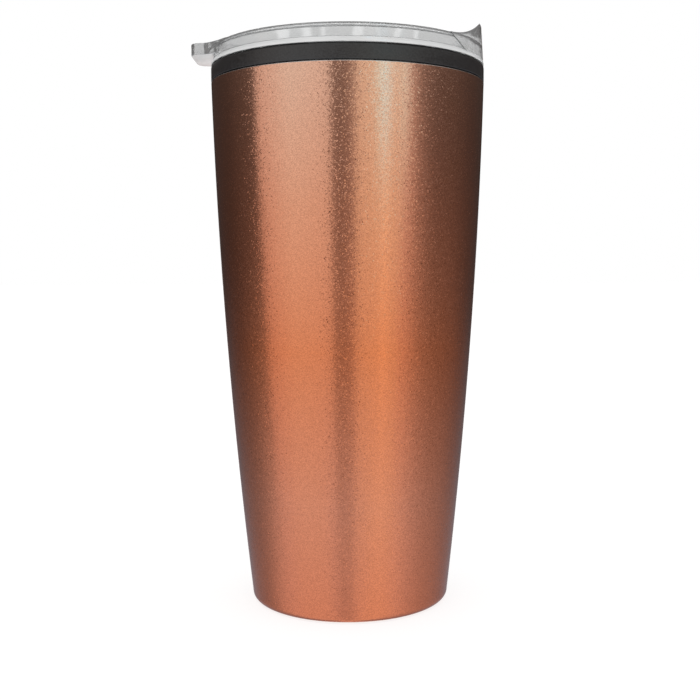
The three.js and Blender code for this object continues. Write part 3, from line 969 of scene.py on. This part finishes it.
lid = turned(
    "lid_clear",
    [(0, deck_low), (dish_radius - PLUG_CORNER, deck_low)]
    + arc(dish_radius - PLUG_CORNER, deck_low - PLUG_CORNER, PLUG_CORNER, 90, 0, 3)
    + arc(dish_radius + EDGE_EASE, lid_low + EDGE_EASE, EDGE_EASE, 180, 270, 3)
    + arc(plug_radius - EDGE_EASE, lid_low + EDGE_EASE, EDGE_EASE, -90, 0, 3)
    + [(plug_radius, groove_low), (groove_floor, groove_low), (groove_floor, groove_high)]
    + [(plug_radius, groove_high), (plug_radius, LID_SEAT - SEAT_EASE)]
    + [(plug_radius + SEAT_EASE, LID_SEAT)]
    + arc(flange_radius - FLANGE_ROUND, LID_SEAT + FLANGE_ROUND, FLANGE_ROUND, -90, 0, 4)
    + [(flange_radius, ledge_top - 0.25 * MM)]
    + flank(flange_face, slant_foot, flange_top - 0.1 * MM, 5)
    + arc(wall_foot + WALL_FILLET, flange_top + WALL_FILLET, WALL_FILLET, 270, 180, 2)
    + flank(wall_outside, flange_top + 0.25 * MM, cove_foot, 6)
    + bend((wall_outside(cove_foot), cove_foot), cove_pull, (bead_radius, bead_foot), 6)
    + [(bead_radius, bead_foot + 0.15 * MM)]
    + arc(bead_radius - TOP_ROUND, LID_TOP - TOP_ROUND, TOP_ROUND, 5, 90, 6)
    + arc(wall_inside + INNER_ROUND, LID_TOP - INNER_ROUND, INNER_ROUND, 90, 180, 4)
    + flank(wall_within, LID_TOP - 0.8 * MM, ledge_top + 0.5 * MM, 8)
    + arc(ledge_outer - LEDGE_FILLET, ledge_top + LEDGE_FILLET, LEDGE_FILLET, 0, -90, 3)
    + arc(ledge_inner + LEDGE_ROUND, ledge_top - LEDGE_ROUND, LEDGE_ROUND, 90, 180, 3)
    + arc(dish_radius - DISH_CORNER, deck_top + DISH_CORNER, DISH_CORNER, 0, -90, 5)
    + [(0, deck_top)],
    closed=False,
)

# The spout: a lip that carries the wall up towards +X along a hollow curve.
SPOUT_LEVEL = 2.7 * MM
SPOUT_CLIMB = 10.8 * MM
SPOUT_WALL = 1.8 * MM
SPOUT_SLANT = 6.5 * MM
SPOUT_DRAFT = 0.8 * MM
NOSE_DROP = 2.2 * MM
BROW_DROP = 0.5 * MM
BROW_INSET = 0.6 * MM
LEVEL_RUN = 1.1 * MM


def slab(name, outline, half_width):
    """A slab whose outline of (x, z) points is drawn from the side."""
    return raised(name, [(x, -half_width, z) for x, z in outline], (0, 2 * half_width, 0))


spout_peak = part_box("lid_body")[1].z
spout_level = mouth_radius - SPOUT_LEVEL
spout_foot = spout_level - SPOUT_CLIMB
lip_low = flange_top - 0.4 * MM
lip_outer_top = flange_radius - SPOUT_DRAFT
spout = turned(
    "spout",
    [(wall_inside + 0.2 * MM, lip_low), (flange_radius - 0.1 * MM, lip_low)]
    + [(lip_outer_top, spout_peak + CUT_PAST), (lip_outer_top - SPOUT_WALL, spout_peak + CUT_PAST)]
    + [(lip_outer_top - SPOUT_WALL, LID_TOP - MM)],
)
climb_foot = LID_TOP - 0.2 * MM
climb_pull = (spout_foot + 0.6 * SPOUT_CLIMB, climb_foot)
climb = bend((spout_level, spout_peak), climb_pull, (spout_foot, climb_foot), 14)
wedge_low = lip_low - CUT_PAST
wedge_end = mouth_radius + CUT_PAST
wedge_outline = (
    [(spout_foot + SPOUT_SLANT, wedge_low), (wedge_end, wedge_low)]
    + [(wedge_end, spout_peak - NOSE_DROP), (mouth_radius - BROW_INSET, spout_peak - BROW_DROP)]
    + [(spout_level + LEVEL_RUN, spout_peak), (spout_level, spout_peak)]
    + climb
    + [(spout_foot + SPOUT_SLANT, wedge_low)]
)
combine(spout, slab("wedge", wedge_outline, mouth_radius), "INTERSECT")
ease_edges(spout, 0.35 * MM)
combine(lid, spout, "UNION")

# The pry tab: a flat tongue with round corners that flares into the wall and stands just above it.
TAB_THICKNESS = 3.6 * MM
TAB_RISE = 0.7 * MM
TAB_TIP_HALF = 10.0 * MM
TAB_ROOT_DEG = 27.5
TAB_CORNER = 4.2 * MM

tab_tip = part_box("lid_body")[0].x
root_radius = wall_top - LID_WALL / 2
root = arc(0, 0, root_radius, 180 + TAB_ROOT_DEG, 180 - TAB_ROOT_DEG, 12)
flare_pull = (1.5 * MM - mouth_radius, TAB_TIP_HALF + MM)
tip_start = (tab_tip + TAB_CORNER, TAB_TIP_HALF)
tip_end = (tab_tip, TAB_TIP_HALF - TAB_CORNER)
one_side = bend(root[-1], flare_pull, tip_start, 8)
one_side += bend(tip_start, (tab_tip, TAB_TIP_HALF), tip_end, 8)
other_side = [(x, -y) for x, y in reversed(one_side)]
tab_top = LID_TOP + TAB_RISE
tab_low = tab_top - TAB_THICKNESS
tab = plate("tab", root + one_side + other_side, tab_low, tab_top)
ease_edges(tab, 0.5 * MM)
combine(lid, tab, "UNION")

# Rails for the slider, and the openings in the dish floor: sip slot, stem slot and vent.
RAIL_WALL = 1.5 * MM
RAIL_HEIGHT = 3.4 * MM
RAIL_ROUND = RAIL_WALL / 2.2
RAIL_RUN = 1.0 * MM
SLIDER_SIDE_GAP = 0.4 * MM
SIP_LENGTH = 6.0 * MM
SIP_WIDTH = 14.0 * MM
SIP_INSET = 2.1 * MM
SIP_ROUND = 2.4 * MM
SLIDER_TRAVEL = 9.0 * MM
STEM_LENGTH = 8.0 * MM
STEM_WIDTH = 5.0 * MM
SLOT_ROUND = 0.5 * MM
GRIP_BACK = 18.5 * MM
VENT_RADIUS = 1.1 * MM
VENT_BACK = 25.0 * MM

slider_low, slider_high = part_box("slider_cap")
sip_back = dish_radius - SIP_INSET - SIP_LENGTH
sip_middle = sip_back + SIP_LENGTH / 2
rail_start = slider_low.x - RAIL_RUN
rail_length = sip_back + RAIL_RUN - rail_start
rail_box = rounded_box(rail_start + rail_length / 2, rail_length, RAIL_WALL, RAIL_ROUND)
grip_middle = slider_high.x - GRIP_BACK
for side in (-1, 1):
    rail_y = side * (slider_high.y + SLIDER_SIDE_GAP + RAIL_WALL / 2)
    rail_outline = [(x, y + rail_y) for x, y in rail_box]
    rail = plate("rail", rail_outline, deck_top - MM, deck_top + RAIL_HEIGHT)
    ease_edges(rail, 0.25 * MM, 2)
    combine(lid, rail, "UNION")
slot_middle = grip_middle + SLIDER_TRAVEL / 2
slot_length = STEM_LENGTH + SLIDER_TRAVEL + 2 * FIT_GAP
slot_width = STEM_WIDTH + 2 * FIT_GAP
for outline in (
    rounded_box(sip_middle, SIP_LENGTH, SIP_WIDTH, SIP_ROUND),
    rounded_box(slot_middle, slot_length, slot_width, SLOT_ROUND),
    arc(-VENT_BACK, 0, VENT_RADIUS, 0, 345, 23),
):
    hole = plate("hole", outline, deck_low - CUT_PAST, deck_top + CUT_PAST)
    combine(lid, hole, "DIFFERENCE")
clear = clear_plastic("clear_plastic", CLEARNESS)
# The milky material is a painted highlight for the flange's face and the tab's underside.
clad(lid, clear, clear_plastic("milky_highlight_plastic", MILKY_HIGHLIGHT_CLEARNESS))

# The flange's face and the tab's underside are made milky so that they show white: a painted highlight
# of the bright bands of light on them.
highlight_band_low, highlight_band_high = LID_SEAT + FLANGE_ROUND / 2, flange_top - 0.05 * MM
highlight_band_inner = flange_radius - FLANGE_SLANT - 0.12 * MM
for face in lid.data.polygons:
    at = face.center
    on_flange = math.hypot(at.x, at.y) > highlight_band_inner and highlight_band_low < at.z < highlight_band_high
    under_tab = face.normal.z < -0.9 and at.x < -mouth_radius and at.z < tab_top - MM
    face.material_index = 1 if on_flange or under_tab else 0
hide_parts("lid_body")
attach(lid, "lid")

# ------------------------------------------------------------------------------------------------
# Lid gasket
#
# A ring of translucent silicone stretched into the plug's groove, with two thin fins that bend
# against the liner's wall and hold the lid in.

FIN_CLEARANCE = 0.2 * MM
FIN_TIP = 0.12 * MM
LOW_FIN = 0.25
HIGH_FIN = 0.7
GASKET_TONES = [(0.3, (0.80, 0.82, 0.82)), (0.7, (0.88, 0.90, 0.90))]
GASKET_HAZE = 3 * MM


def clear_silicone():
    """Translucent rubber with an uneven haze."""
    material, tree, shader, place = paint("clear_silicone")
    haze = noise(tree, place, GASKET_HAZE, detail=3.0)
    tree.links.new(ramp(tree, haze, GASKET_TONES), shader.inputs["Base Color"])
    uneven = bump(tree, haze, depth=0.05 * MM, strength=0.3)
    tree.links.new(uneven, shader.inputs["Normal"])
    shader.inputs["Transmission Weight"].default_value = 0.75
    shader.inputs["Roughness"].default_value = 0.35
    shader.inputs["IOR"].default_value = 1.41
    return material


gasket_low, gasket_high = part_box("lid_gasket")
gasket_height = gasket_high.z - gasket_low.z
gasket_inner = groove_floor + FIT_GAP
gasket_outer = plug_radius


def fin(share):
    """A thin fin that springs from the ring, at a share of its height, and droops a little."""
    height = gasket_low.z + share * gasket_height
    tip = liner_inner(height) - FIN_CLEARANCE - FIN_TIP
    return (
        [(gasket_outer, height - 0.45 * MM), (gasket_outer + 0.15 * MM, height - 0.3 * MM)]
        + arc(tip, height, FIN_TIP, -90, 90, 3)
        + [(gasket_outer + 0.2 * MM, height + 0.35 * MM), (gasket_outer, height + 0.55 * MM)]
    )


gasket = turned(
    "gasket_ring",
    arc(gasket_inner + EDGE_EASE, gasket_low.z + EDGE_EASE, EDGE_EASE, 180, 270, 3)
    + [(gasket_outer, gasket_low.z)]
    + fin(LOW_FIN)
    + fin(HIGH_FIN)
    + [(gasket_outer, gasket_high.z)]
    + arc(gasket_inner + EDGE_EASE, gasket_high.z - EDGE_EASE, EDGE_EASE, 90, 180, 3),
)
gasket.data.materials.append(clear_silicone())
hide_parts("lid_gasket")
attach(gasket, "gasket")

# ------------------------------------------------------------------------------------------------
# Slider
#
# A clear moulded plate that slides between the rails. Its front edge follows the dish wall, a
# ribbed grip stands on top, and a stem reaches down through the deck.

SLIDER_PLATE = 2.0 * MM
TAIL_ROUND = 6.0 * MM
GRIP_LENGTH = 5.0 * MM
GRIP_WIDTH = 15.0 * MM
GRIP_FLARE = 2.2 * MM
GRIP_FLARE_HEIGHT = 2.4 * MM
GRIP_RIB_COUNT = 4
GRIP_RIB = 0.35 * MM
GRIP_CROWN = 1.2 * MM
BARB_WIDTH = 7.0 * MM
BARB_THICKNESS = 0.8 * MM
BARB_INSET = 0.1 * MM
STEM_ROUND = 0.6 * MM
PAD_MARGIN = 0.2 * MM
PAD_ROUND = 2.5 * MM

plate_low = deck_top + FIT_GAP
plate_top = plate_low + SLIDER_PLATE
slider_half = slider_high.y
front_radius = slider_high.x + SLIDER_TRAVEL
front_bend = math.degrees(math.asin(slider_half / front_radius))
tail_centre = slider_low.x + TAIL_ROUND
slider_outline = (
    arc(-SLIDER_TRAVEL, 0, front_radius, -front_bend, front_bend, 14)
    + arc(tail_centre, slider_half - TAIL_ROUND, TAIL_ROUND, 90, 180, 10)
    + arc(tail_centre, TAIL_ROUND - slider_half, TAIL_ROUND, 180, 270, 10)
)
slider = plate("slider_clear", slider_outline, plate_low, plate_top)
ease_edges(slider, 0.4 * MM)

grip_front = grip_middle + GRIP_LENGTH / 2
grip_rear = grip_middle - GRIP_LENGTH / 2
grip_top = slider_high.z
grip_foot = plate_top - SINK


def grip_side(edge_x, outward):
    """One flared side of the grip's section, from its foot up, with shallow ribs."""
    foot = (edge_x + outward * GRIP_FLARE, grip_foot)
    waist = (edge_x, plate_top + GRIP_FLARE_HEIGHT)
    points = [foot] + bend(foot, (edge_x, plate_top), waist, 6)
    rib_pitch = (grip_top - GRIP_CROWN - waist[1]) / GRIP_RIB_COUNT
    for i in range(GRIP_RIB_COUNT):
        base = waist[1] + i * rib_pitch
        points += [(edge_x - outward * GRIP_RIB, base + rib_pitch * 0.5), (edge_x, base + rib_pitch)]
    return points


grip_section = (
    grip_side(grip_front, 1)
    + bend((grip_front, grip_top - GRIP_CROWN), (grip_front, grip_top), (grip_middle, grip_top), 5)
    + bend((grip_middle, grip_top), (grip_rear, grip_top), (grip_rear, grip_top - GRIP_CROWN), 5)[:-1]
    + list(reversed(grip_side(grip_rear, -1)))
)
grip = slab("grip", grip_section, GRIP_WIDTH / 2)
ease_edges(grip, 0.3 * MM, 2)
combine(slider, grip, "UNION")

stem_outline = rounded_box(grip_middle, STEM_LENGTH, STEM_WIDTH, STEM_ROUND)
combine(slider, plate("stem", stem_outline, slider_low.z, plate_low + SINK), "UNION")
barb_length = STEM_LENGTH - 2 * BARB_INSET
barb_outline = rounded_box(grip_middle, barb_length, BARB_WIDTH, STEM_ROUND)
barb_low = slider_low.z + 0.02 * MM
barb_high = slider_low.z + BARB_THICKNESS
combine(slider, plate("barb", barb_outline, barb_low, barb_high), "UNION")
pad_low, pad_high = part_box("slider_seal")
pad_middle = (pad_low.x + pad_high.x) / 2
pad_length = pad_high.x - pad_low.x
pad_width = pad_high.y - pad_low.y
pocket_length = pad_length + 2 * PAD_MARGIN
pocket_width = pad_width + 2 * PAD_MARGIN
pocket_outline = rounded_box(pad_middle, pocket_length, pocket_width, PAD_ROUND)
pocket = plate("pocket", pocket_outline, plate_low - CUT_PAST, pad_high.z + PAD_MARGIN)
combine(slider, pocket, "DIFFERENCE")
clad(slider, clear)
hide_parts("slider_cap")
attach(slider, "slider")

# ------------------------------------------------------------------------------------------------
# Slider gate
#
# A small clear plate under the deck. The stem's barbs snap through its middle, so that the slider
# can run but can't lift.

GATE_ROUND = 3.0 * MM

gate_low, gate_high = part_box("slider_gate")
gate_length = gate_high.x - gate_low.x
gate_outline = rounded_box(grip_middle, gate_length, gate_high.y - gate_low.y, GATE_ROUND)
gate = plate("slider_gate_plate", gate_outline, gate_low.z, gate_high.z)
ease_edges(gate, 0.3 * MM, 2)
hole_outline = rounded_box(grip_middle, STEM_LENGTH + 2 * FIT_GAP, slot_width, SLOT_ROUND)
gate_hole = plate("hole", hole_outline, gate_low.z - CUT_PAST, gate_high.z + CUT_PAST)
combine(gate, gate_hole, "DIFFERENCE")
clad(gate, clear)
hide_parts("slider_gate")
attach(gate, "slider")

# ------------------------------------------------------------------------------------------------
# Slider seal
#
# A white silicone pad pushed into the pocket under the slider. It covers the sip slot when the
# slider is shut.

pad = plate(
    "slider_seal_pad",
    rounded_box(pad_middle, pad_length, pad_width, PAD_ROUND),
    pad_low.z,
    pad_high.z,
)
ease_edges(pad, 0.25 * MM)
clad(pad, silicone)
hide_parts("slider_seal")
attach(pad, "slider")
